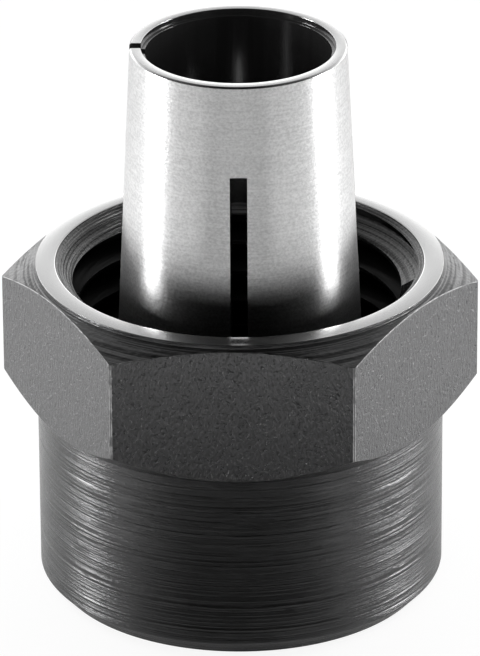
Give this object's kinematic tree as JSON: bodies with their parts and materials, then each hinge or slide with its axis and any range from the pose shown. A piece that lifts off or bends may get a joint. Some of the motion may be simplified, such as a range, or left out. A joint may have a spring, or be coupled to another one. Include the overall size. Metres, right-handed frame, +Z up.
{
  "type": "router collet",
  "caption": "Split tapered collet sleeve held captive in a clamping nut by a snap ring; grips a round tool shank in a router spindle.",
  "frame": {"origin": "centre of the nut's nose face, on the common axis, which is the bottom of the part as it stands", "axes": "+Z up the common axis from the nut's nose to the small end of the sleeve; +X through a corner of the hexagon; -Y out of a spanner flat"},
  "size_m": [0.0328, 0.0286, 0.0396],
  "materials": {
    "nut_black_oxide": "black oxide over a fine blasted and turned surface, semi-gloss",
    "sleeve_ground_steel": "ground bright outside, blackened inside the bore and slots",
    "ring_spring_steel": "plain spring steel, lightly oiled"
  },
  "bodies": {
    "nut": {"clamping_nut": "nut_black_oxide"},
    "ring": {"retaining_ring": "ring_spring_steel"},
    "sleeve": {"collet_sleeve": "sleeve_ground_steel"}
  },
  "joints": [
    {"name": "nut_turn", "type": "hinge", "parent": "nut", "child": "ring", "pos_m": [0, 0, 0.0076], "axis": [0, 0, 1], "continuous": true},
    {"name": "sleeve_float", "type": "slide", "parent": "ring", "child": "sleeve", "axis": [0, 0, 1], "range_m": [0, 0.0006]}
  ]
}
